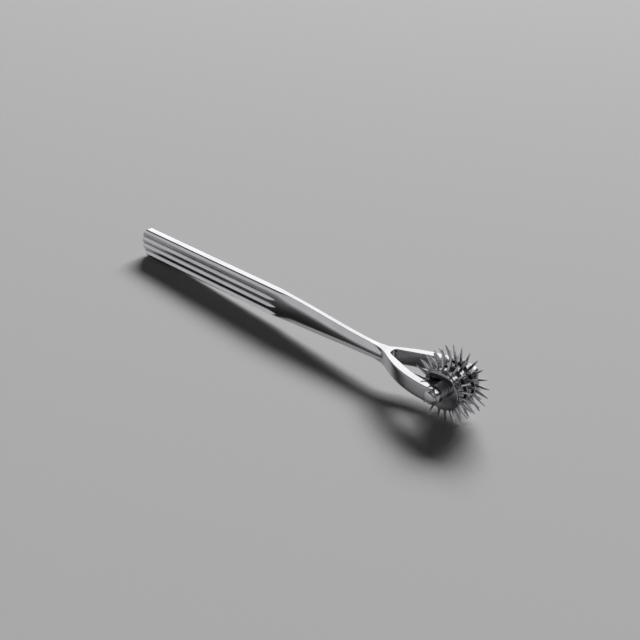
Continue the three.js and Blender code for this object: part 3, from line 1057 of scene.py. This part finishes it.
def makeWorld():
    world = bpy.data.worlds.new("studio")
    bpy.context.scene.world = world
    world.use_nodes = True
    tree = world.node_tree
    tree.nodes.clear()
    out = addNode(tree, "ShaderNodeOutputWorld")
    fill = addNode(tree, "ShaderNodeBackground")
    fill.inputs["Color"].default_value = (1, 1, 1, 1)
    fill.inputs["Strength"].default_value = studio["fillLevel"]
    shown = addNode(tree, "ShaderNodeBackground")
    where = addNode(tree, "ShaderNodeTexCoord")
    parts = addNode(tree, "ShaderNodeSeparateXYZ")
    tree.links.new(where.outputs["Generated"], parts.inputs[0])
    toSide = addNode(tree, "ShaderNodeVectorMath", operation="DOT_PRODUCT")
    toSide.inputs[1].default_value = studio["wallSide"]
    tree.links.new(where.outputs["Generated"], toSide.inputs[0])
    height = parts.outputs[2]
    across = smoothStep(tree, toSide.outputs["Value"], *studio["wallEdges"])
    below = mathNode(tree, "SUBTRACT", 1.0, smoothStep(tree, height, *studio["wallTop"]))
    horizon = mathNode(tree, "SUBTRACT", 1.0, smoothStep(tree, height, *studio["horizonTop"]))
    pale = mathNode(tree, "MAXIMUM", mathNode(tree, "MULTIPLY", across, below), horizon)
    wall = addNode(tree, "ShaderNodeMix", data_type="RGBA")
    wall.inputs["A"].default_value = (*studio["roomColour"], 1)
    wall.inputs["B"].default_value = (*studio["wallColour"], 1)
    tree.links.new(pale, wall.inputs["Factor"])
    tree.links.new(wall.outputs["Result"], shown.inputs["Color"])
    path = addNode(tree, "ShaderNodeLightPath")
    seen = mathNode(tree, "MAXIMUM", path.outputs["Is Camera Ray"], path.outputs["Is Glossy Ray"])
    seen = mathNode(tree, "MAXIMUM", seen, path.outputs["Is Transmission Ray"])
    blend = addNode(tree, "ShaderNodeMixShader")
    tree.links.new(seen, blend.inputs[0])
    tree.links.new(fill.outputs[0], blend.inputs[1])
    tree.links.new(shown.outputs[0], blend.inputs[2])
    tree.links.new(blend.outputs[0], out.inputs[0])


def makeLight(name, settings):
    # a flat panel; turn is in degrees from +X, level is the brightness of its face
    turn, rise = math.radians(settings["turn"]), math.radians(settings["rise"])
    level = math.cos(rise)
    away = Vector((math.cos(turn) * level, math.sin(turn) * level, math.sin(rise)))
    panel = bpy.data.lights.new(name, "AREA")
    panel.shape = "RECTANGLE"
    panel.size, panel.size_y = settings["size"]
    panel.energy = settings["level"] * math.pi * panel.size * panel.size_y
    light = bpy.data.objects.new(name, panel)
    bpy.context.scene.collection.objects.link(light)
    light.location = away * settings["distance"] + Vector(studio["lightAim"])
    light.rotation_euler = (-away).to_track_quat("-Z", "Y").to_euler()
    light.visible_glossy = settings["forMetal"]
    light.visible_diffuse = not settings["forMetal"]


def makeLights():
    for name in ("key", "softbox", "rim"):
        makeLight(name, studio[name])


def makeCamera():
    turn, rise, roll = view["turn"], view["elevation"], view["roll"]
    right = Vector((math.cos(turn), math.sin(turn), 0))
    toward = Vector((math.sin(turn), -math.cos(turn), 0))
    up = Vector((0, 0, 1))
    back = toward * math.cos(rise) + up * math.sin(rise)
    over = up * math.cos(rise) - toward * math.sin(rise)
    across = right * math.cos(roll) + over * math.sin(roll)
    upright = over * math.cos(roll) - right * math.sin(roll)
    spot = (Vector(view["aim"]) + back * view["distance"]) * mm
    camera = bpy.data.objects.new("camera", bpy.data.cameras.new("camera"))
    bpy.context.scene.collection.objects.link(camera)
    camera.data.sensor_fit = "HORIZONTAL"
    camera.data.sensor_width = view["sensor"]
    camera.data.lens = view["focalShare"] * view["sensor"]
    camera.data.clip_start = view["nearest"]
    axes = Matrix((across, upright, back)).transposed().to_4x4()
    camera.matrix_world = Matrix.Translation(spot) @ axes
    bpy.context.scene.camera = camera


makeFloor()
makeWorld()
makeLights()
makeCamera()
bpy.context.scene.view_settings.view_transform = "Standard"
print("stage: floor, light and camera made")
